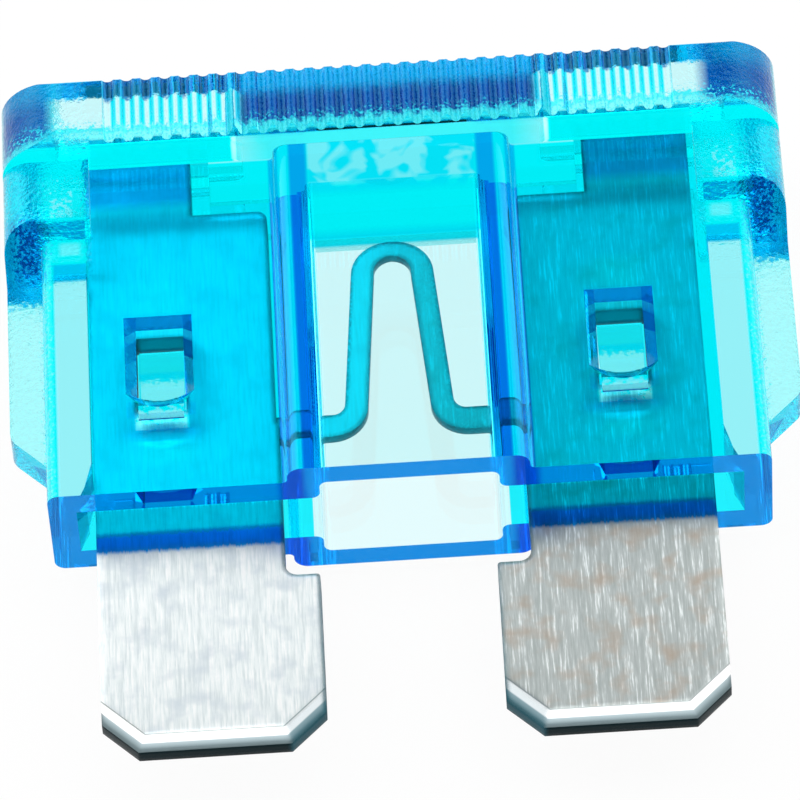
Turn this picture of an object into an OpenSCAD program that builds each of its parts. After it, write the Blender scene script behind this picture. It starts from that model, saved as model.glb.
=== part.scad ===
// Regular blade fuse: a transparent moulded housing, open below, staked onto
// one stamped metal strip whose two blades are joined by a thin fuse link.
// Each piece is drawn upright: X is the width, Y the thickness and Z the height
// above the housing's open rim. lay_down() then turns it onto its back, so the
// head points along +Y and the blades along -Y.

/* [Head] */
// Width of the head, and of the wings below it
head_w = 19.1; // [18.4:0.1:22]
// Thickness of the head
head_t = 5.1; // [4.6:0.1:7]
// Height of the head above its ledge
head_h = 1.95; // [1.9:0.05:3.2]
// Radius of the head's upright corners
head_corner_r = 1.3; // [0.5:0.1:2]
// Radius along the head's lower edge
head_lower_r = 0.25; // [0.05:0.05:0.3]
// Radius along the head's upper edge
head_upper_r = 0.06; // [0.04:0.01:0.15]
// Number of grip ribs on the head's front
rib_count = 29; // [9:1:29]
// Distance from one rib to the next
rib_pitch = 0.472; // [0.44:0.004:0.48]
// Radius of the ribs and of the valleys between them
rib_r = 0.15; // [0.15:0.01:0.2]
// Depth of the valleys between the ribs
rib_depth = 0.125; // [0.1:0.005:0.14]

/* [Test pockets] */
// Width of the pocket over each blade
pocket_w = 4.6; // [3.4:0.1:4.8]
// Thickness of the pocket
pocket_t = 2.5; // [1.2:0.1:3]
// Depth of the pocket below the head's top
pocket_depth = 1.4; // [0.6:0.05:1.7]
// Corner radius of the pocket
pocket_r = 0.3; // [0.1:0.05:0.5]
// How far the pocket reaches in past its blade, to clear the head's corner
pocket_offset = 0.15; // [0:0.05:0.3]

/* [Body] */
// Width of the body at its open rim
body_w = 17.3; // [16.6:0.1:17.8]
// Height of the body from the rim to the head's ledge
body_h = 9.9; // [9.2:0.1:12]
// Thickness of the body over the blades
body_t = 2.9; // [2.6:0.1:3.4]
// Radius of the body's upright corners
body_corner_r = 0.28; // [0.1:0.02:0.5]
// Width of the raised window over the fuse link
window_w = 5.8; // [5.4:0.1:6]
// Thickness of the body across the window
window_t = 3.95; // [3.6:0.05:4.5]
// Radius of the window's upright corners
window_r = 0.35; // [0.1:0.05:0.5]
// Fillet where the window rises from the body
window_fillet_r = 0.12; // [0.05:0.01:0.15]

/* [Wings and collars] */
// Thickness of the wings
wing_t = 0.95; // [0.6:0.05:1.5]
// Height of the wings' lower end above the rim
wing_foot = 1.6; // [0.8:0.1:3]
// Corner radius where a wing's side meets its chamfer
wing_r = 0.5; // [0.1:0.1:1]
// Thickness across the thicker collars under the head
collar_t = 3.76; // [3.5:0.02:4.4]
// Height of the collars' straight sides
collar_h = 1.85; // [1:0.05:2.5]
// Height of the slope from a collar down to its wing
collar_slope_h = 0.95; // [0.3:0.05:1.5]
// Radius of a collar's upright outer corners
collar_r = 0.7; // [0.2:0.1:1.2]
// Radius where a collar's side turns into its slope
collar_edge_r = 0.15; // [0.05:0.05:0.3]

/* [Cavity] */
// Thickness of the roof between the cavity and the head's ledge
roof_t = 1; // [0.5:0.1:1.6]
// Thickness of the cavity over the blades, at the rim
cavity_t = 1.56; // [1.3:0.02:1.8]
// Width of the cavity behind the window, at the rim
chamber_w = 4.3; // [3.8:0.1:4.6]
// Thickness of the cavity behind the window, at the rim
chamber_t = 2.76; // [2.4:0.02:3]
// Radius of the chamber's upright corners
chamber_r = 0.2; // [0.05:0.05:0.25]
// How much closer to the middle the blades' slot is at its roof than at the rim, each side
cavity_draft = 0.18; // [0.02:0.02:0.2]
// Height of the lead-in beside each blade
lead_in_h = 1.2; // [0.6:0.1:2.5]
// Width of the lead-in beside each blade
lead_in_w = 0.4; // [0.2:0.05:0.5]
// Height above the rim at which the lead-in turns steeper
knee_h = 0.5; // [0.3:0.05:0.55]
// Width of the lead-in's steeper part
knee_w = 0.18; // [0.05:0.01:0.2]
// Room beside a tab, towards the middle, where it rises through the roof
tab_room = 0.33; // [0.15:0.01:0.4]

/* [Stakes] */
// Distance from the middle to each stake
stake_x = 5.58; // [5.2:0.02:5.8]
// How far both stakes sit to one side, as the punch left them
stake_shift = -0.28; // [-0.3:0.02:0.3]
// Height of a stake pocket's lower edge above the rim
stake_z = 2.95; // [2:0.05:4]
// Width of a stake's pocket at the housing's face
stake_w = 1.65; // [1.4:0.05:2]
// Height of a stake's pocket at the housing's face
stake_h = 2.3; // [2:0.05:3]
// Slope of the pocket's top wall
stake_top_slope = 13; // [2:1:20]
// Width of the tongue driven into the blade's hole
tongue_w = 1.1; // [0.8:0.05:1.3]
// Thickness of the tongue
tongue_t = 0.4; // [0.25:0.05:0.45]
// How far the tongue's face passes the middle of the blade
tongue_reach = 0.2; // [0:0.05:0.2]
// Depth of the tongue's foot below the housing's face
tongue_foot = 0.7; // [0.6:0.05:0.72]
// Radius of the thumb-shaped gouge below a stake's pocket
gouge_r = 1.3; // [1.1:0.05:1.6]
// Slope of the gouge from upright
gouge_angle = 38; // [25:1:50]
// How far the gouge runs out below the pocket
gouge_drop = 0.45; // [0.3:0.05:0.6]

/* [Blades] */
// Thickness of the metal
strip_t = 0.65; // [0.5:0.01:0.8]
// Distance over the outer edges of both blades
blades_w = 14.82; // [14.4:0.02:15]
// Width of a blade at its tip
blade_w = 5.3; // [5.1:0.05:5.4]
// Width of a blade where it enters the housing
neck_w = 4.48; // [4.44:0.02:4.6]
// Width of a blade above the fuse link
shank_w = 4.42; // [4:0.01:4.44]
// Length of the blades below the rim
blade_h = 6.65; // [5:0.05:9]
// Distance from the rim down to the blades' shoulders
shoulder_drop = 1.9; // [1:0.1:3]
// Fillet inside the shoulder
shoulder_r = 0.3; // [0.1:0.05:0.5]
// Radius on the shoulder's outer corner
shoulder_edge_r = 0.08; // [0.02:0.02:0.2]
// Radius of the inner corner at a shank's top
shank_r = 0.25; // [0.1:0.05:0.4]
// Size of the chamfers at the tip's corners
tip_chamfer = 0.85; // [0.3:0.05:1.2]
// Length of the coined bevel at the tip
bevel_l = 0.42; // [0.2:0.02:0.6]
// Depth of the coined bevel at the tip
bevel_d = 0.15; // [0.05:0.01:0.2]
// Width of the tab that rises into the test pocket
tab_w = 2.58; // [1.8:0.02:2.8]
// How far the tab stands above the test pocket's floor
tab_proud = 0.2; // [0.05:0.05:0.6]

/* [Fuse link] */
// Thickness of the fuse link
link_t = 0.25; // [0.15:0.01:0.5]
// Width of the link at the blades
link_root_w = 0.65; // [0.4:0.01:0.8]
// Width of the link's legs
link_leg_w = 0.56; // [0.3:0.01:0.6]
// Width of the link at the top of its arch
link_top_w = 0.42; // [0.25:0.01:0.5]
// Height of the link's roots above the rim
link_z = 2.4; // [1.8:0.1:4]
// Height of the arch above the link's roots
arch_h = 5.3; // [3:0.1:5.6]
// Distance between the legs at the top of the arch
arch_top_w = 1.46; // [1.2:0.02:1.8]
// Distance between the legs at the foot of the arch
arch_foot_w = 2.06; // [1.8:0.02:2.2]
// Bend radius from a root into its leg
link_bend_r = 0.62; // [0.45:0.01:0.65]

/* [Fits] */
// Gap between a blade's outer edge and the housing, with the strip centred
side_gap = 0.17; // [0.15:0.01:0.2]
// How far the strip sits to one side in that gap
strip_shift = -0.14; // [-0.14:0.01:0.14]
// Gap between a tongue and the sides of its hole in the blade
stake_gap = 0.05; // [0.03:0.01:0.1]
// Gap between a blade's inner shoulder and the cavity's roof
roof_gap = 0.03; // [0.02:0.01:0.1]

/* [Hidden] */
$fn = 48;
cut = 0.5;
corner_steps = 6;
bend_steps = 10;
overlap = 0.05;

top_z = body_h + head_h;
cavity_h = body_h - roof_t;
pocket_z = top_z - pocket_depth;
tab_top_z = pocket_z + tab_proud;
blade_out = blades_w / 2;
cavity_out = blade_out + side_gap;
tab_in = blade_out - tab_w;
pocket_mid = blade_out - tab_w / 2 - pocket_offset;
roof_cavity_t = cavity_t - 2 * cavity_draft;
stake_top_z = stake_z + stake_h;
face_y = -body_t / 2;
tongue_top_z = stake_top_z + stake_top_rise(-cavity_t / 2);

// Height gained by a stake pocket's top wall between the face and depth y
function stake_top_rise(y) = (y - face_y) * tan(stake_top_slope);

// Rounded outlines: each corner is [x, y, radius]
function unit(v) = v / norm(v);
function flat(p) = [p[0], p[1]];
function corner(a, b, c, steps) =
    let (u = unit(flat(a) - flat(b)), v = unit(flat(c) - flat(b)))
    let (half = acos(u * v) / 2, sweep = 180 - 2 * half)
    let (middle = flat(b) + unit(u + v) * b[2] / sin(half))
    let (first = flat(b) + u * b[2] / tan(half) - middle)
    let (last = flat(b) + v * b[2] / tan(half) - middle)
    [for (i = [0:steps])
        middle + (first * sin(sweep * (1 - i / steps)) + last * sin(sweep * i / steps)) / sin(sweep)];
function rounded(points, steps = corner_steps) =
    let (n = len(points))
    [for (i = [0:n - 1])
        each (points[i][2] == 0
            ? [flat(points[i])]
            : corner(points[(i + n - 1) % n], points[i], points[(i + 1) % n], steps))];

// The same half outline on both sides of X = 0
function both_sides(half) =
    concat(half, [for (i = [len(half) - 1:-1:0]) [-half[i][0], half[i][1], half[i][2]]]);

module lay_down() {
    translate([0, (blade_h - top_z) / 2, head_t / 2])
        rotate([-90, 0, 0])
            children();
}

module rounded_rectangle(w, h, r) {
    square([w - 2 * r, h], center = true);
    square([w, h - 2 * r], center = true);
    for (sx = [-1, 1], sy = [-1, 1])
        translate([sx * (w / 2 - r), sy * (h / 2 - r)])
            circle(r = r);
}

// Plan of a block whose foot is filleted where it stands on a wider, thinner one
module stepped_rectangle(w, h, r, foot_h, foot_r) {
    rounded_rectangle(w, h, r);
    difference() {
        square([w + 2 * foot_r, foot_h + 2 * foot_r], center = true);
        for (sx = [-1, 1], sy = [-1, 1])
            translate([sx * (w / 2 + foot_r), sy * (foot_h / 2 + foot_r)])
                circle(r = foot_r);
    }
}

module mirrored_x() {
    children();
    mirror([1, 0, 0]) children();
}

module mirrored_y() {
    children();
    mirror([0, 1, 0]) children();
}

// Extrudes a drawing in Y and Z along X, centred
module along_x(length) {
    rotate([90, 0, 90])
        linear_extrude(length, center = true)
            children();
}

// Extrudes a drawing in X and Z along Y, centred
module along_y(length) {
    rotate([90, 0, 0])
        linear_extrude(length, center = true)
            children();
}

// ---- Housing ----

module head() {
    intersection() {
        translate([0, 0, body_h])
            linear_extrude(head_h)
                head_plan();
        translate([0, 0, body_h])
            along_x(head_w + cut)
                head_profile();
    }
}

// The ribs and valleys are arcs that meet halfway down the wave
module head_plan() {
    ribbed_w = rib_count * rib_pitch;
    difference() {
        union() {
            difference() {
                rounded_rectangle(head_w, head_t, head_corner_r);
                translate([-ribbed_w / 2, -head_t / 2 - cut])
                    square([ribbed_w, cut + rib_depth / 2]);
            }
            for (i = [0.5:rib_count - 0.5])
                translate([i * rib_pitch - ribbed_w / 2, rib_r - head_t / 2])
                    circle(r = rib_r);
        }
        for (i = [0:rib_count])
            translate([i * rib_pitch - ribbed_w / 2, rib_depth - rib_r - head_t / 2])
                circle(r = rib_r);
    }
}

module head_profile() {
    translate([head_lower_r - head_t / 2, 0])
        square([head_t - 2 * head_lower_r, head_h]);
    translate([-head_t / 2, head_lower_r])
        square([head_t, head_h - head_lower_r - head_upper_r]);
    translate([head_upper_r - head_t / 2, head_lower_r])
        square([head_t - 2 * head_upper_r, head_h - head_lower_r]);
    mirrored_x() {
        translate([head_t / 2 - head_lower_r, head_lower_r])
            circle(r = head_lower_r);
        translate([head_t / 2 - head_upper_r, head_h - head_upper_r])
            circle(r = head_upper_r);
    }
}

module body() {
    linear_extrude(body_h + head_lower_r) {
        rounded_rectangle(body_w, body_t, body_corner_r);
        stepped_rectangle(window_w, window_t, window_r, body_t, window_fillet_r);
    }
}

module wings() {
    chamfer = (head_w - body_w) / 2;
    along_y(wing_t)
        polygon(rounded(both_sides([
            [body_w / 2 - body_corner_r, wing_foot - body_corner_r, 0],
            [head_w / 2, wing_foot + chamfer, wing_r],
            [head_w / 2, body_h + head_lower_r, 0]])));
}

// A collar's slope ends at the face of the wing below it
module collar() {
    inner = blade_out;
    width = head_w / 2 - inner;
    intersection() {
        translate([inner + width / 2, 0, 0])
            along_x(width)
                polygon(rounded(both_sides([
                    [wing_t / 2, body_h - collar_h - collar_slope_h, 0],
                    [collar_t / 2, body_h - collar_h, collar_edge_r],
                    [collar_t / 2, body_h + head_lower_r, 0]])));
        linear_extrude(top_z)
            rounded_rectangle(head_w, collar_t, collar_r);
    }
}

// A slot for the blades, narrower at its roof, and the chamber behind the window
module cavity() {
    mouth = cavity_t / 2 + cavity_draft * cut / cavity_h;
    along_x(2 * cavity_out)
        polygon([
            [-mouth, -cut],
            [mouth, -cut],
            [roof_cavity_t / 2, cavity_h],
            [-roof_cavity_t / 2, cavity_h]]);
    translate([0, 0, -cut])
        linear_extrude(cut + cavity_h)
            stepped_rectangle(chamber_w, chamber_t, chamber_r, cavity_t, chamber_r);
}

// Beside each blade the mouth is chamfered twice, the steeper above
module lead_in() {
    along_y(cavity_t)
        polygon([
            [cavity_out - overlap, -cut],
            [cavity_out + lead_in_w, -cut],
            [cavity_out + lead_in_w, 0],
            [cavity_out + knee_w, knee_h],
            [cavity_out, lead_in_h],
            [cavity_out - overlap, lead_in_h]]);
}

// Where a tab rises through the roof the cavity simply goes on
module tab_slot() {
    translate([tab_in - tab_room, -roof_cavity_t / 2, cavity_h - overlap])
        cube([tab_w + tab_room + side_gap, roof_cavity_t, pocket_z - cavity_h + 2 * overlap]);
}

module test_pocket() {
    translate([pocket_mid, 0, pocket_z])
        linear_extrude(pocket_depth + cut)
            rounded_rectangle(pocket_w, pocket_t, pocket_r);
}

// Puts a copy at each stake
module at_stakes() {
    for (side = [-1, 1])
        translate([side * stake_x + stake_shift, 0, 0])
            children();
}

// Plastic of the front wall, cut free at its upper end and driven back into the
// blade's hole; it stays joined to the wall at its foot
module tongue() {
    along_x(tongue_w)
        polygon([
            [face_y + tongue_foot, stake_z],
            [tongue_reach, tongue_top_z],
            [tongue_reach + tongue_t, tongue_top_z],
            [-strip_t / 2 - stake_gap, stake_z + stake_gap],
            [-cavity_t / 2 - overlap, stake_z - tongue_foot]]);
}

// The punch's mark: it narrows from the face to the tongue
module stake_pocket() {
    intersection() {
        linear_extrude(top_z)
            polygon([
                [-stake_w / 2, face_y - cut],
                [stake_w / 2, face_y - cut],
                [stake_w / 2, face_y],
                [tongue_w / 2, -roof_cavity_t / 2],
                [tongue_w / 2, tongue_reach],
                [-tongue_w / 2, tongue_reach],
                [-tongue_w / 2, -roof_cavity_t / 2],
                [-stake_w / 2, face_y]]);
        along_x(stake_w + cut)
            polygon([
                [face_y - cut, stake_z],
                [face_y + tongue_foot, stake_z],
                [tongue_reach, tongue_top_z],
                [tongue_reach, stake_top_z + stake_top_rise(tongue_reach)],
                [face_y, stake_top_z],
                [face_y - cut, stake_top_z]]);
    }
    gouge();
}

module gouge() {
    intersection() {
        translate([0, face_y, stake_z - gouge_drop])
            rotate([-gouge_angle, 0, 0])
                translate([0, -gouge_r, 0])
                    cylinder(r = gouge_r, h = 4 * gouge_r, center = true);
        translate([-stake_w / 2, face_y - cut, stake_z - 2 * gouge_drop])
            cube([stake_w, cut + tongue_foot, 2 * gouge_drop + overlap]);
    }
}

module housing() {
    color([0.05, 0.6, 0.95, 0.45])
        lay_down()
            difference() {
                union() {
                    difference() {
                        union() {
                            head();
                            body();
                            wings();
                            mirrored_x() collar();
                        }
                        cavity();
                        mirrored_x() {
                            lead_in();
                            tab_slot();
                            test_pocket();
                        }
                    }
                    at_stakes() tongue();
                }
                at_stakes() stake_pocket();
            }
}

// ---- Strip ----

module blade_outline() {
    polygon(rounded([
        [blade_out, -blade_h + tip_chamfer, 0],
        [blade_out, tab_top_z, 0],
        [tab_in, tab_top_z, 0],
        [tab_in, cavity_h - roof_gap, 0],
        [blade_out - shank_w, cavity_h - roof_gap, shank_r],
        [blade_out - shank_w, link_z, 0],
        [blade_out - neck_w, link_z, 0],
        [blade_out - neck_w, -shoulder_drop, shoulder_r],
        [blade_out - blade_w, -shoulder_drop, shoulder_edge_r],
        [blade_out - blade_w, -blade_h + tip_chamfer, 0],
        [blade_out - blade_w + tip_chamfer, -blade_h, 0],
        [blade_out - tip_chamfer, -blade_h, 0]]));
}

// Wedge that coins one face back from an edge that lies along X at the origin
module bevel_wedge() {
    along_x(2 * blade_w)
        polygon([[-strip_t, -cut], [-strip_t, bevel_l], [-strip_t / 2, bevel_l],
            [-strip_t / 2 + bevel_d, 0], [-strip_t / 2 + bevel_d, -cut]]);
}

module tip_bevels() {
    middle = blade_out - blade_w / 2;
    corner_x = blade_w / 2 - tip_chamfer / 2;
    corner_z = -blade_h + tip_chamfer / 2;
    mirrored_y() {
        translate([middle, 0, -blade_h]) bevel_wedge();
        for (side = [-1, 1])
            translate([middle + side * corner_x, 0, corner_z])
                rotate([0, -side * 45, 0])
                    bevel_wedge();
    }
}

module blade() {
    difference() {
        along_y(strip_t)
            blade_outline();
        tip_bevels();
    }
}

module stake_hole() {
    hole_w = tongue_w + 2 * stake_gap;
    translate([-hole_w / 2, -strip_t, stake_z])
        cube([hole_w, 2 * strip_t, tongue_top_z + stake_gap - stake_z]);
}

// Half of the link's middle line, from its root in the blade to the arch's top,
// as [x, z, width]
function link_path() =
    let (foot = arch_foot_w / 2, top = arch_top_w / 2)
    let (arch_z = link_z + arch_h - top)
    concat(
        [[blade_out - shank_w + overlap, link_z, link_root_w]],
        [for (i = [0:bend_steps])
            let (a = 90 * i / bend_steps)
            [foot + link_bend_r * (1 - sin(a)), link_z + link_bend_r * (1 - cos(a)),
                link_root_w + (link_leg_w - link_root_w) * i / bend_steps]],
        [for (i = [0:bend_steps])
            let (a = 90 * i / bend_steps)
            [top * cos(a), arch_z + top * sin(a),
                link_leg_w + (link_top_w - link_leg_w) * i / bend_steps]]);

function link_side(path, side) =
    [for (i = [0:len(path) - 1])
        let (ahead = flat(path[min(i + 1, len(path) - 1)]), back = flat(path[max(i - 1, 0)]))
        let (along = unit(ahead - back))
        flat(path[i]) + side * path[i][2] / 2 * [along[1], -along[0]]];

module link() {
    half = link_path();
    whole = concat(half, [for (i = [len(half) - 2:-1:0]) [-half[i][0], half[i][1], half[i][2]]]);
    outer = link_side(whole, 1);
    inner = link_side(whole, -1);
    along_y(link_t)
        polygon(concat(outer, [for (i = [len(inner) - 1:-1:0]) inner[i]]));
}

module fuse_strip() {
    color([0.8, 0.82, 0.82])
        lay_down()
            difference() {
                translate([strip_shift, 0, 0]) {
                    mirrored_x() blade();
                    link();
                }
                at_stakes() stake_hole();
            }
}

housing();
fuse_strip();
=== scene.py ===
import math
from types import SimpleNamespace

import bpy
from mathutils import Matrix, Vector


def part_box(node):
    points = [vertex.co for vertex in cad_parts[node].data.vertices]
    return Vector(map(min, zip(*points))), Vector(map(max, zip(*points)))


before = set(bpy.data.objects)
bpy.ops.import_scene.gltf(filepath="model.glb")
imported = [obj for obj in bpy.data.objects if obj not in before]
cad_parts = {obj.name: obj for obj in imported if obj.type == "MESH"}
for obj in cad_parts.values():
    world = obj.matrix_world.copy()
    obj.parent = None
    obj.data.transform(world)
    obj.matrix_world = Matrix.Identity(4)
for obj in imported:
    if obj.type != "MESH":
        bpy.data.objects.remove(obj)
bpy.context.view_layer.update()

# ---------------------------------------------------------------------------
# Housing: one injection moulding in transparent blue polycarbonate. The mould
# is polished where the fuse is read through the body, and spark-eroded on the
# ribbed head, the collars and the wings, which the fingers hold.

MM = 0.001
CM = 0.01
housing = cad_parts["housing"]
rim_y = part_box("housing")[0].y
middle_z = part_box("housing")[1].z / 2
# both stakes sit a little to the left of the housing's middle
STAKE_SHIFT = 0.28 * MM
# in centimetres: a stake's place, the height of the head's underside, and the middle of a test pocket
STAKE_OUT = 0.558
HEAD_FOOT = 0.99
POCKET_OUT = 0.6
# the height from which the head's colours are given
HEAD_BASE = 1.0
PIT = 0.13 * MM
PIT_DEPTH = 0.03 * MM
FLECK = 0.075 * MM
CLOUD = 0.9 * MM
# one ridge and groove of a stake's sheared wall, in centimetres
RIDGE = 0.013
# polycarbonate, and what a millimetre of it lets through
PLASTIC_IOR = 1.585
PLASTIC_TINT = (0.62, 0.97, 0.992, 1.0)
PER_MM = 1000.0
# what a polished face of it mirrors
GLANCE_TINT = (0.0, 0.6, 0.8, 1.0)


def add(tree, kind, settings):
    """Adds a node; a setting is one of its attributes, or an input's value or the socket linked to it."""
    made = tree.nodes.new(kind)
    for name, value in settings.items():
        if isinstance(value, bpy.types.NodeSocket):
            tree.links.new(value, made.inputs[name])
        elif isinstance(name, int) or name in made.inputs:
            made.inputs[name].default_value = value
        else:
            setattr(made, name, value)
    return made


def empty_material(name):
    material = bpy.data.materials.new(name)
    material.use_nodes = True
    material.node_tree.nodes.clear()
    return material, material.node_tree


def dress(piece, material):
    piece.data.materials.clear()
    piece.data.materials.append(material)


def reckoned(tree, operation, *values):
    """The result of one operation on one to three values."""
    return add(tree, "ShaderNodeMath", {"operation": operation, **dict(enumerate(values))}).outputs[0]


def combined(tree, operation, *masks):
    result = masks[0]
    for mask in masks[1:]:
        result = reckoned(tree, operation, result, mask)
    return result


def zone(tree, *masks):
    """1 where all the masks are 1."""
    return combined(tree, "MULTIPLY", *masks)


def either(tree, *masks):
    """1 where any of the masks is 1."""
    return combined(tree, "MAXIMUM", *masks)


def ramp(tree, value, start, end):
    """0 up to start and 1 from end on, where end may also be the lower one."""
    return add(tree, "ShaderNodeMapRange", {"From Min": start, "From Max": end, "Value": value}).outputs[0]


def band(tree, value, start, full, fading, end):
    """Two masks for a zone: it begins between start and full, and stops between fading and end."""
    return ramp(tree, value, start, full), ramp(tree, value, end, fading)


def noise(tree, vector, size, **settings):
    return add(tree, "ShaderNodeTexNoise", {"Vector": vector, "Scale": 1 / size, **settings}).outputs[0]


def ragged(tree, value, roughened, reach):
    """A value whose zones get ragged edges."""
    return reckoned(tree, "MULTIPLY_ADD", roughened, reach, value)


def laid_over(tree, under, colour, mask):
    """A colour laid over another one where the mask is 1."""
    return add(tree, "ShaderNodeMix", {"data_type": "RGBA", 0: mask, 6: under, 7: colour}).outputs[2]


def multiplied(tree, one, other):
    """What is left of the light after two colours in turn."""
    return add(tree, "ShaderNodeMix", {
        "data_type": "RGBA", "blend_type": "MULTIPLY", 0: 1.0, 6: one, 7: other}).outputs[2]


def linear(hex_colour):
    """An sRGB hex colour as linear RGBA."""
    parts = [int(hex_colour[i:i + 2], 16) / 255 for i in (1, 3, 5)]
    return [c / 12.92 if c <= 0.04045 else ((c + 0.055) / 1.055) ** 2.4 for c in parts] + [1.0]


def shades(tree, value, *stops):
    """Colours along a value, from (position, colour) stops."""
    made = add(tree, "ShaderNodeValToRGB", {0: value})
    elements = made.color_ramp.elements
    for element, (position, colour) in zip(elements, (stops[0], stops[-1])):
        element.position = position
        element.color = linear(colour)
    for position, colour in stops[1:-1]:
        elements.new(position).color = linear(colour)
    return made.outputs[0]


# takes nothing out of the light
CLEAR = linear("#ffffff")


def beside_stakes(tree, x):
    """How far a point lies from the line between the two stakes, towards either of them."""
    return reckoned(tree, "ABSOLUTE", reckoned(tree, "ADD", x, STAKE_SHIFT))


def places_on_housing(tree):
    """Where a point of the housing lies, in centimetres, how its face is turned, and the grains there."""
    coordinates = add(tree, "ShaderNodeTexCoord", {}).outputs
    axes = add(tree, "ShaderNodeSeparateXYZ", {0: coordinates["Object"]}).outputs
    facing = add(tree, "ShaderNodeSeparateXYZ", {0: coordinates["Normal"]}).outputs
    at = SimpleNamespace(x=axes["X"], facing=facing)
    # out from the middle, up from the rim, forward from the strip, and aside from a stake
    at.out = reckoned(tree, "MULTIPLY", reckoned(tree, "ABSOLUTE", at.x), 1 / CM)
    at.up = reckoned(tree, "MULTIPLY_ADD", axes["Y"], 1 / CM, -rim_y / CM)
    at.forward = reckoned(tree, "MULTIPLY_ADD", axes["Z"], 1 / CM, -middle_z / CM)
    at.depth = reckoned(tree, "ABSOLUTE", at.forward)
    from_stake = reckoned(tree, "MULTIPLY_ADD", beside_stakes(tree, at.x), 1 / CM, -STAKE_OUT)
    at.aside = reckoned(tree, "ABSOLUTE", from_stake)
    at.end_on = reckoned(tree, "ABSOLUTE", facing["Y"])
    at.sideways = reckoned(tree, "ABSOLUTE", facing["X"])
    at.pits = noise(tree, coordinates["Object"], PIT, Detail=2.0, Roughness=0.6)
    at.flecks = noise(tree, coordinates["Object"], FLECK, Detail=1.0)
    at.clouds = noise(tree, coordinates["Object"], CLOUD, Detail=2.0, Distortion=0.6)
    at.ragged_up = ragged(tree, at.up, at.pits, 0.1)
    return at


def eroded_faces(tree, at):
    """The collars, the wings and, less so, the ribbed head, but not what faces down."""
    collar = zone(tree, ramp(tree, at.out, 0.738, 0.742), ramp(tree, at.up, 0.705, 0.71))
    wing = ramp(tree, at.out, 0.862, 0.87)
    round_pockets = either(tree, ramp(tree, at.depth, 0.126, 0.13), wing)
    head = zone(tree, ramp(tree, at.up, HEAD_FOOT, HEAD_FOOT + 0.005), round_pockets)
    ribs = zone(tree, head, 0.4)
    return zone(tree, either(tree, collar, wing, ribs), ramp(tree, at.facing["Y"], -0.7, -0.3))


def painted_light_on_body_front(tree, at):
    """Painted light and painted shade on the body's front, from the middle outwards: deep-blue bands and
    clear patches that stand for the light's long and short ways through the plastic.
    """
    # painted shade in deep-blue bands across the body, and the window's tint with painted clear light above
    # and below it
    across = shades(tree, at.out,
                    (0.203, "#00ffff"), (0.212, "#00b4f4"), (0.248, "#00b4f4"), (0.254, "#00f8ff"),
                    (0.276, "#00f8ff"), (0.282, "#00c0f0"), (0.3, "#00c0f0"), (0.305, "#00ffff"))
    window = shades(tree, at.up, (0.685, "#ffffff"), (0.69, "#00e8f8"), (0.72, "#00ffff"),
                    (0.85, "#00ffff"), (0.87, "#ffffff"))
    window = laid_over(tree, window, linear("#10f4ff"), zone(
        tree, ramp(tree, at.clouds, 0.46, 0.54), ramp(tree, at.up, 0.85, 0.87)))
    colour = laid_over(tree, across, window, ramp(tree, at.out, 0.207, 0.2))
    # the side walls' painted deep-blue shade, and the wings with painted shade on their flecked slope
    side = shades(tree, at.up, (0.645, "#ffffff"), (0.65, "#00d4fa"), (0.698, "#00d4fa"), (0.703, "#00ffff"))
    colour = laid_over(tree, colour, side, zone(tree, *band(tree, at.out, 0.753, 0.757, 0.832, 0.838)))
    ragged_out = ragged(tree, at.out, at.flecks, 0.08)
    wing = shades(tree, at.ragged_up, (0.7, "#c8ffff"), (0.712, "#20ccf8"), (0.76, "#20c8f8"),
                  (0.87, "#00dcf8"), (0.9, "#00f4ff"))
    slope = shades(tree, at.flecks, (0.42, "#0044a8"), (0.5, "#0078c8"), (0.6, "#60c0f8"))
    wing = laid_over(tree, wing, slope, zone(
        tree, *band(tree, at.ragged_up, 0.765, 0.78, 0.85, 0.87), ramp(tree, ragged_out, 0.975, 0.955)))
    wing = laid_over(tree, wing, linear("#00c0e0"), zone(
        tree, ramp(tree, at.flecks, 0.42, 0.62), ramp(tree, at.ragged_up, 0.86, 0.88), 0.5))
    colour = laid_over(tree, colour, wing, ramp(tree, ragged_out, 0.885, 0.91))
    # painted light: pale patches at the collars' foot and at the side walls' head
    thin_foot = ragged(tree, at.up, at.pits, -0.4)
    colour = laid_over(tree, colour, CLEAR, zone(
        tree, *band(tree, at.out, 0.78, 0.785, 0.835, 0.84),
        ramp(tree, at.up, 0.812, 0.816), ramp(tree, thin_foot, 0.66, 0.64)))
    return laid_over(tree, colour, linear("#a8ffff"), zone(
        tree, *band(tree, at.out, 0.764, 0.776, 0.812, 0.824), *band(tree, at.up, 0.724, 0.732, 0.758, 0.77)))


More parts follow.
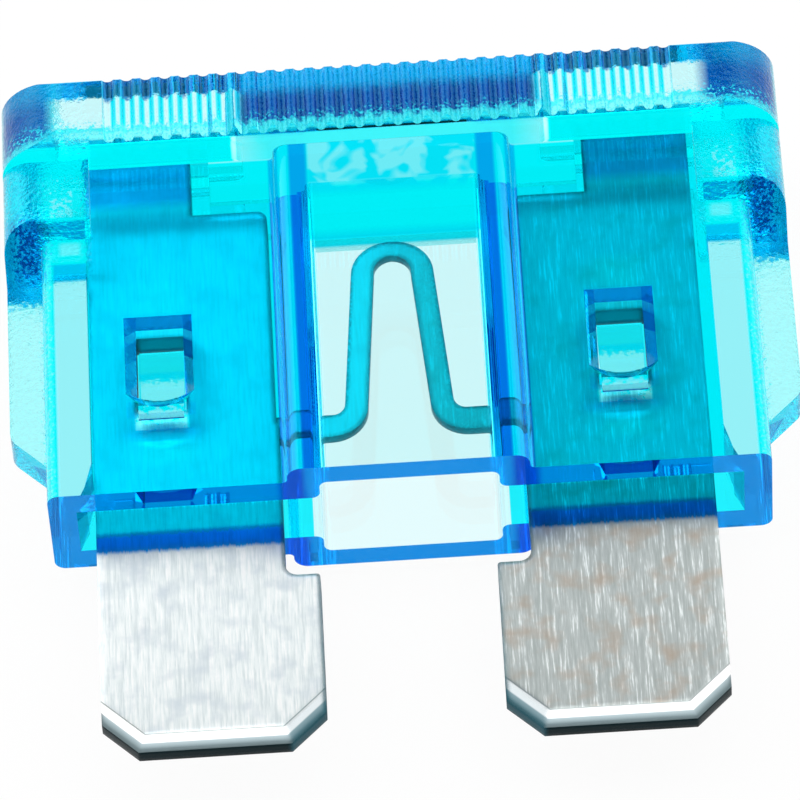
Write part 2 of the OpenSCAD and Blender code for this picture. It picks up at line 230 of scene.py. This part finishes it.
def painted_light_on_head_front(tree, at):
    """Painted light and shade on the head's front: painted deep-blue shade between its clear pockets, deeper
    in its grooves and at its corners, and painted clear light in the pockets.
    """
    above = ragged(tree, reckoned(tree, "SUBTRACT", at.up, HEAD_BASE), at.pits, 0.04)
    flank = ramp(tree, at.sideways, 0.2, 0.5)
    valley = ramp(tree, at.forward, 0.2495, 0.2465)
    middle = shades(tree, above, (0.04, "#a0ffff"), (0.055, "#0050b8"), (0.115, "#0058bc"),
                    (0.15, "#00a8e8"), (0.21, "#00b0ec"))
    # painted shade, deeper in the grooves
    middle = laid_over(tree, middle, linear("#003890"), zone(
        tree, valley, *band(tree, above, 0.04, 0.055, 0.13, 0.16), 0.7))
    pocket = shades(tree, above, (0.035, "#a0ffff"), (0.05, "#20f8ff"), (0.06, "#ffffff"),
                    (0.146, "#ffffff"), (0.152, "#40d0ff"))
    pocket = laid_over(tree, pocket, linear("#00f0ff"), zone(
        tree, flank, *band(tree, above, 0.05, 0.06, 0.146, 0.152), ramp(tree, at.out, 0.69, 0.685)))
    pocket = laid_over(tree, pocket, linear("#0050a8"), zone(
        tree, valley, ramp(tree, above, 0.14, 0.15), 0.7))
    corner = shades(tree, above, (0.02, "#a0ffff"), (0.04, "#0060b8"), (0.12, "#0058b0"), (0.18, "#0098d4"))
    off_pocket = reckoned(tree, "ABSOLUTE", reckoned(tree, "SUBTRACT", at.out, POCKET_OUT))
    colour = laid_over(tree, middle, pocket, ramp(tree, off_pocket, 0.25, 0.22))
    # the corner's painted shade begins a little nearer to the middle on the right
    towards_corner = either(tree, reckoned(tree, "MULTIPLY", at.x, -1 / CM),
                            reckoned(tree, "MULTIPLY", at.x, 1.09 / CM))
    colour = laid_over(tree, colour, corner, ramp(tree, towards_corner, 0.82, 0.86))
    return laid_over(tree, colour, linear("#60f0ff"), zone(
        tree, ramp(tree, at.flecks, 0.54, 0.62), ramp(tree, above, 0.085, 0.05)))


def painted_light_at_slot_rim_and_ledge(tree, at):
    """Painted light and shade round the blades' slot: a blue tint on the slot's walls for the blue light on
    the metal, painted deep-blue shade on the rim's end face, and painted pale light under the head.
    """
    round_stake = either(tree, ramp(tree, at.aside, 0.054, 0.056), ramp(tree, at.up, 0.7, 0.72),
                         ramp(tree, at.up, 0.27, 0.26))
    colour = laid_over(tree, CLEAR, linear("#28f4ff"), zone(
        tree, ramp(tree, at.depth, 0.096, 0.094), *band(tree, at.out, 0.236, 0.238, 0.81, 0.82), round_stake))
    rim = shades(tree, at.out, (0.24, "#00a8f0"), (0.258, "#0058d0"), (0.3, "#0058d0"), (0.32, "#00a8ec"))
    colour = laid_over(tree, colour, rim, zone(
        tree, ramp(tree, at.end_on, 0.65, 0.75), ramp(tree, at.up, 0.01, 0.005)))
    ledge = shades(tree, at.out, (0.3, "#a0ffff"), (0.385, "#e0ffff"), (0.39, "#00ffff"))
    ledge = laid_over(tree, ledge, linear("#a0ffff"), zone(
        tree, ramp(tree, at.clouds, 0.5, 0.58), ramp(tree, at.forward, 0.2, 0.21)))
    return laid_over(tree, colour, ledge, zone(
        tree, ramp(tree, at.facing["Y"], -0.8, -0.9), ramp(tree, at.up, 0.98, 0.985)))


def with_stakes_and_painted_light(tree, at, colour):
    """Adds the punched stakes in painted light and shade: sheared walls in painted shade with ridges painted
    lit where they face right, round a tongue in painted clear light, and a painted patch of caught light
    below.
    """
    stake = shades(tree, at.ragged_up, (0.34, "#80f0ff"), (0.347, "#c0ffff"), (0.465, "#c0ffff"),
                   (0.48, "#20f4ff"))
    ridges = reckoned(tree, "SINE", reckoned(
        tree, "MULTIPLY_ADD", at.up, 2 * math.pi / RIDGE, reckoned(tree, "MULTIPLY", at.pits, 9.0)))
    # painted shade on the sheared walls, the ridges painted lit only where the wall faces right
    wall = laid_over(tree, linear("#0068bc"), linear("#20d0f0"), zone(
        tree, ramp(tree, ridges, -0.2, 0.4), ramp(tree, at.facing["X"], 0.3, 0.5)))
    stake = laid_over(tree, stake, wall, ramp(tree, at.sideways, 0.3, 0.5))
    # painted shade on the faces that look down
    stake = laid_over(tree, stake, linear("#0078cc"), ramp(tree, at.facing["Y"], -0.6, -0.8))
    colour = laid_over(tree, colour, stake, zone(
        tree, ramp(tree, at.aside, 0.084, 0.083), *band(tree, at.up, 0.25, 0.251, 0.56, 0.57),
        ramp(tree, at.forward, 0.1445, 0.144), ramp(tree, at.forward, -0.03, -0.025)))
    # a painted patch of light caught below each stake
    return laid_over(tree, colour, CLEAR, zone(
        tree, ramp(tree, at.aside, 0.068, 0.06), *band(tree, at.ragged_up, 0.22, 0.226, 0.288, 0.298),
        ramp(tree, at.forward, 0.04, 0.05)))


def polycarbonate_with_painted_light():
    """Clear blue plastic that takes the red out of what lies behind it: pale where it is thin, saturated
    where the light has a long way through it, and pitted where the mould was eroded.
    Its base colour also holds painted light and painted shade, in pale and deep-blue zones placed by position
    on the part."""
    material, tree = empty_material("blue_polycarbonate_with_painted_light_and_shade")
    at = places_on_housing(tree)
    eroded = eroded_faces(tree, at)
    front_colour = laid_over(tree, painted_light_on_body_front(tree, at), painted_light_on_head_front(tree, at),
                             ramp(tree, at.up, HEAD_FOOT, HEAD_FOOT + 0.005))
    front = zone(tree, ramp(tree, at.facing["Z"], 0.2, 0.4), ramp(tree, at.forward, 0.04, 0.045), either(
        tree, ramp(tree, at.up, HEAD_FOOT, HEAD_FOOT - 0.005), ramp(tree, at.forward, 0.15, 0.16)))
    colour = laid_over(tree, painted_light_at_slot_rim_and_ledge(tree, at), front_colour, front)
    colour = with_stakes_and_painted_light(tree, at, colour)
    # a surface tints what passes by the root of its base colour
    base = multiplied(tree, colour, colour)

    bump = add(tree, "ShaderNodeBump", {"Height": at.pits, "Strength": eroded, "Distance": PIT_DEPTH})
    roughness = add(tree, "ShaderNodeMapRange", {"Value": eroded, "To Min": 0.01, "To Max": 0.1})
    surface = add(tree, "ShaderNodeBsdfPrincipled", {
        "Base Color": base, "Roughness": roughness.outputs[0], "Normal": bump.outputs["Normal"],
        "IOR": PLASTIC_IOR, "Transmission Weight": 1.0, "Specular Tint": GLANCE_TINT})
    inside = add(tree, "ShaderNodeVolumeAbsorption", {"Color": PLASTIC_TINT, "Density": PER_MM})
    add(tree, "ShaderNodeOutputMaterial", {"Surface": surface.outputs[0], "Volume": inside.outputs[0]})
    return material


dress(housing, polycarbonate_with_painted_light())

# ---------------------------------------------------------------------------
# Fuse strip: one stamping of rolled zinc alloy, 0.65 mm thick. The rolling
# grain runs along the blades, and the tips are coined so that they enter
# their terminals easily.

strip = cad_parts["fuse_strip"]
# a scratch of the rolling grain, across and along the blades
GRAIN_ACROSS = 0.05 * MM
GRAIN_ALONG = 0.8 * MM
GRAIN_DEPTH = 0.006 * MM
BLOTCH = 0.7 * MM
GRIT = 0.07 * MM
ROLLED_RADIUS = 0.2 * MM
# heights on the strip are shares of this length, counted from below the rim
HEIGHT_STEP = 13 * MM
BELOW_RIM = 0.09
LINK_HALF = 2.6 * MM


def zinc_with_painted_light():
    """Bare metal with a fine grain along the blades. Its colour also holds painted light and shade: a painted
    reflection of the rim, painted blue light inside the housing, a painted highlight on the coined bevels,
    and painted shade on the sheared faces and the inner edges."""
    material, tree = empty_material("zinc_alloy_with_painted_light")
    place = add(tree, "ShaderNodeTexCoord", {}).outputs
    axes = add(tree, "ShaderNodeSeparateXYZ", {0: place["Object"]}).outputs
    facing = add(tree, "ShaderNodeSeparateXYZ", {0: place["Normal"]}).outputs
    flatness = reckoned(tree, "ABSOLUTE", facing["Z"])
    to_right = ramp(tree, axes["X"], -1 * MM, 1 * MM)
    along = add(tree, "ShaderNodeMapping", {
        "Scale": (1 / GRAIN_ACROSS, 1 / GRAIN_ALONG, 1 / GRAIN_ACROSS), "Vector": place["Object"]})
    streaks = noise(tree, along.outputs[0], 1.0, Detail=3.0, Roughness=0.6)
    blotches = ramp(tree, noise(tree, place["Object"], BLOTCH, Detail=3.0), 0.5, 0.8)
    grit = noise(tree, place["Object"], GRIT, Detail=1.0)

    # the left blade is lighter and the right one darker, each with blotches
    bright = shades(tree, streaks, (0.34, "#dae4e6"), (0.5, "#ecf4f5"), (0.66, "#fcffff"))
    bright = laid_over(tree, bright, linear("#ccd8e0"), blotches)
    darker_tone = shades(tree, streaks, (0.36, "#acb5b4"), (0.56, "#c0c8c7"), (0.68, "#f2f8f8"))
    darker_tone = laid_over(tree, darker_tone, linear("#b4a494"), blotches)
    tone = laid_over(tree, bright, darker_tone, to_right)

    # by height: bare below the rim, then a painted reflection of the rim, then painted blue light inside the
    # housing
    height = reckoned(tree, "MULTIPLY_ADD", axes["Y"], 1 / HEIGHT_STEP, BELOW_RIM - rim_y / HEIGHT_STEP)
    lit = shades(tree, ragged(tree, height, streaks, 0.02),
                 (0.026, "#ffffff"), (0.029, "#30b0f0"), (0.063, "#30b0f0"), (0.066, "#18b0c4"),
                 (0.122, "#18b0c4"), (0.13, "#10d4ec"), (0.6, "#10d0e8"), (0.77, "#0cd0ec"),
                 (0.8, "#0ce4f8"), (0.825, "#08a4dc"))
    # a painted patch of light on the metal below each gouge, where light through the plastic falls
    beside = beside_stakes(tree, axes["X"])
    below_gouge = zone(tree, *band(tree, beside, 4.9 * MM, 4.95 * MM, 6.2 * MM, 6.26 * MM),
                       *band(tree, height, 0.276, 0.279, 0.33, 0.336))
    lit = laid_over(tree, lit, CLEAR, below_gouge)
    even = laid_over(tree, linear("#e4e8e8"), linear("#c4caca"), to_right)
    inside = ramp(tree, height, 0.12, 0.14)
    colour = multiplied(tree, laid_over(tree, tone, even, zone(tree, inside, 0.35)), lit)

    # coined bevels: a painted highlight where they leave the face, painted shade towards the tip
    near_face = reckoned(tree, "MULTIPLY", reckoned(tree, "SUBTRACT", axes["Z"], middle_z), 1 / MM)
    coined = shades(tree, near_face, (0.2, "#708084"), (0.245, "#98a6aa"), (0.255, "#ffffff"),
                    (0.312, "#ffffff"), (0.318, "#a4acac"))
    colour = laid_over(tree, colour, coined, zone(
        tree, ramp(tree, flatness, 0.98, 0.96), ramp(tree, height, 0.0, -0.1)))
    # painted shade on the sheared faces: near black on the blades, painted teal blue light inside the housing
    shade = laid_over(tree, linear("#0c2024"), linear("#1c8c9c"), ramp(tree, height, 0.085, 0.11))
    colour = laid_over(tree, colour, shade, ramp(tree, flatness, 0.6, 0.4))

    # edges rolled over by the stamping, in painted dark-teal shade where they face the middle of the fuse
    rolled = add(tree, "ShaderNodeBevel", {"Radius": ROLLED_RADIUS}).outputs[0]
    turned = add(tree, "ShaderNodeSeparateXYZ", {0: rolled}).outputs
    inwards = combined(tree, "MULTIPLY", turned["X"], reckoned(tree, "SIGN", axes["X"]), -1.0)
    colour = laid_over(tree, colour, linear("#205460"), ramp(tree, inwards, 0.05, 0.4))
    # the link's edges are gritty, and more so on the right, in a teal that is painted blue light
    on_link = zone(tree, inside, ramp(tree, axes["X"], -LINK_HALF, 0.1 * MM - LINK_HALF),
                   ramp(tree, axes["X"], LINK_HALF, LINK_HALF - 0.1 * MM))
    edge = reckoned(tree, "ADD", ramp(tree, turned["Z"], 0.999, 0.93), zone(tree, to_right, 0.25))
    colour = laid_over(tree, colour, linear("#107888"), zone(
        tree, on_link, edge, ramp(tree, grit, 0.35, 0.6)))

    across = add(tree, "ShaderNodeCombineXYZ", {"X": 1.0})
    bump = add(tree, "ShaderNodeBump", {
        "Distance": GRAIN_DEPTH, "Strength": 0.5, "Height": streaks, "Normal": rolled})
    surface = add(tree, "ShaderNodeBsdfPrincipled", {
        "Metallic": 1.0, "Roughness": 0.3, "Anisotropic": 1.0,
        "Base Color": colour, "Normal": bump.outputs["Normal"], "Tangent": across.outputs[0]})
    add(tree, "ShaderNodeOutputMaterial", {"Surface": surface.outputs[0]})
    return material


dress(strip, zinc_with_painted_light())

# ---------------------------------------------------------------------------
# Floor and light: a pale sheet under three softboxes, in a plain bright room.
# What is seen through the plastic is the bright backdrop and nothing else.

FLOOR = 0.6
SHEET_GLOW = 0.95
ROOM_GLOW = 0.5


def white_sheet():
    """Matt white paper that keeps the fuse's soft shadow."""
    material, tree = empty_material("white_paper")
    path = add(tree, "ShaderNodeLightPath", {}).outputs
    matt = add(tree, "ShaderNodeBsdfDiffuse", {"Color": linear("#f2f2f2")})
    glow = add(tree, "ShaderNodeEmission", {"Color": linear("#ffffff"), "Strength": 1.0})
    to_camera = add(tree, "ShaderNodeMath", {
        "operation": "MULTIPLY", 0: path["Is Camera Ray"], 1: SHEET_GLOW})
    seen = either(tree, to_camera.outputs[0], path["Is Transmission Ray"])
    mix = add(tree, "ShaderNodeMixShader", {0: seen, 1: matt.outputs[0], 2: glow.outputs[0]})
    add(tree, "ShaderNodeOutputMaterial", {"Surface": mix.outputs[0]})
    return material


def bright_room():
    """A white room that is darker overhead where it is mirrored, and dimmer where it only lights."""
    world = bpy.data.worlds.new("studio")
    world.use_nodes = True
    tree = world.node_tree
    tree.nodes.clear()
    path = add(tree, "ShaderNodeLightPath", {}).outputs
    direction = add(tree, "ShaderNodeTexCoord", {}).outputs["Generated"]
    rise = add(tree, "ShaderNodeSeparateXYZ", {0: direction}).outputs["Z"]
    overhead = add(tree, "ShaderNodeMapRange", {
        "Value": rise, "From Min": 0.66, "From Max": 0.76, "To Min": 1.0, "To Max": 0.1})
    strength = either(tree, overhead.outputs[0], path["Is Transmission Ray"])
    white = add(tree, "ShaderNodeBackground", {"Color": linear("#ffffff"), "Strength": strength})
    dim = add(tree, "ShaderNodeBackground", {"Color": linear("#ffffff"), "Strength": ROOM_GLOW})
    seen = either(tree, path["Is Camera Ray"], path["Is Glossy Ray"], path["Is Transmission Ray"])
    sky = add(tree, "ShaderNodeMixShader", {0: seen, 1: dim.outputs[0], 2: white.outputs[0]})
    add(tree, "ShaderNodeOutputWorld", {"Surface": sky.outputs[0]})
    return world


def softbox(name, direction, distance, width, height, radiance):
    """A rectangular lamp that faces the fuse from the given direction."""
    lamp = bpy.data.lights.new(name, "AREA")
    lamp.shape = "RECTANGLE"
    lamp.size = width
    lamp.size_y = height
    lamp.energy = radiance * math.pi * width * height
    box = bpy.data.objects.new(name, lamp)
    box.location = Vector(direction).normalized() * distance
    box.rotation_euler = Vector(direction).to_track_quat("Z", "Y").to_euler()
    bpy.context.scene.collection.objects.link(box)


bpy.ops.mesh.primitive_plane_add(size=FLOOR)
floor = bpy.context.object
floor.name = "floor"
dress(floor, white_sheet())
bpy.context.scene.world = bright_room()
softbox("softbox_left", (-0.566, 0.6, 0.566), distance=0.25, width=0.24, height=0.16, radiance=1.9)
softbox("softbox_right", (0.566, 0.6, 0.566), distance=0.25, width=0.24, height=0.16, radiance=1.3)
softbox("softbox_top", (0, 0, 1), distance=0.28, width=0.34, height=0.16, radiance=2.3)

# ---------------------------------------------------------------------------
# Camera: a long lens, well above the blades' end and looking at the front
# face. Many bounces let the light through all the walls of the clear plastic.

TILT = math.radians(37.1)
TURN = math.radians(0.5)
ROLL = math.radians(3.24)
REACH = 194.6 * MM
AIM = Vector((-0.126 * MM, rim_y + 3.35 * MM, middle_z))
BOUNCES = 32
MIRRORED_BOUNCES = 24

away = Vector((math.sin(TURN) * math.cos(TILT), -math.sin(TILT), math.cos(TURN) * math.cos(TILT)))
level = Vector((0, 1, 0)).cross(away).normalized()
upright = away.cross(level)
right = level * math.cos(ROLL) - upright * math.sin(ROLL)
up = level * math.sin(ROLL) + upright * math.cos(ROLL)
camera_data = bpy.data.cameras.new("camera")
camera_data.sensor_width = 36.0
camera_data.lens = 362.1
camera_data.clip_start = 0.01
camera = bpy.data.objects.new("camera", camera_data)
bpy.context.scene.collection.objects.link(camera)
camera.matrix_world = Matrix.Translation(AIM + away * REACH) @ Matrix((right, up, away)).transposed().to_4x4()
bpy.context.scene.camera = camera

cycles = bpy.context.scene.cycles
cycles.max_bounces = BOUNCES
cycles.transmission_bounces = BOUNCES
cycles.glossy_bounces = MIRRORED_BOUNCES
bpy.context.scene.view_settings.view_transform = "Standard"
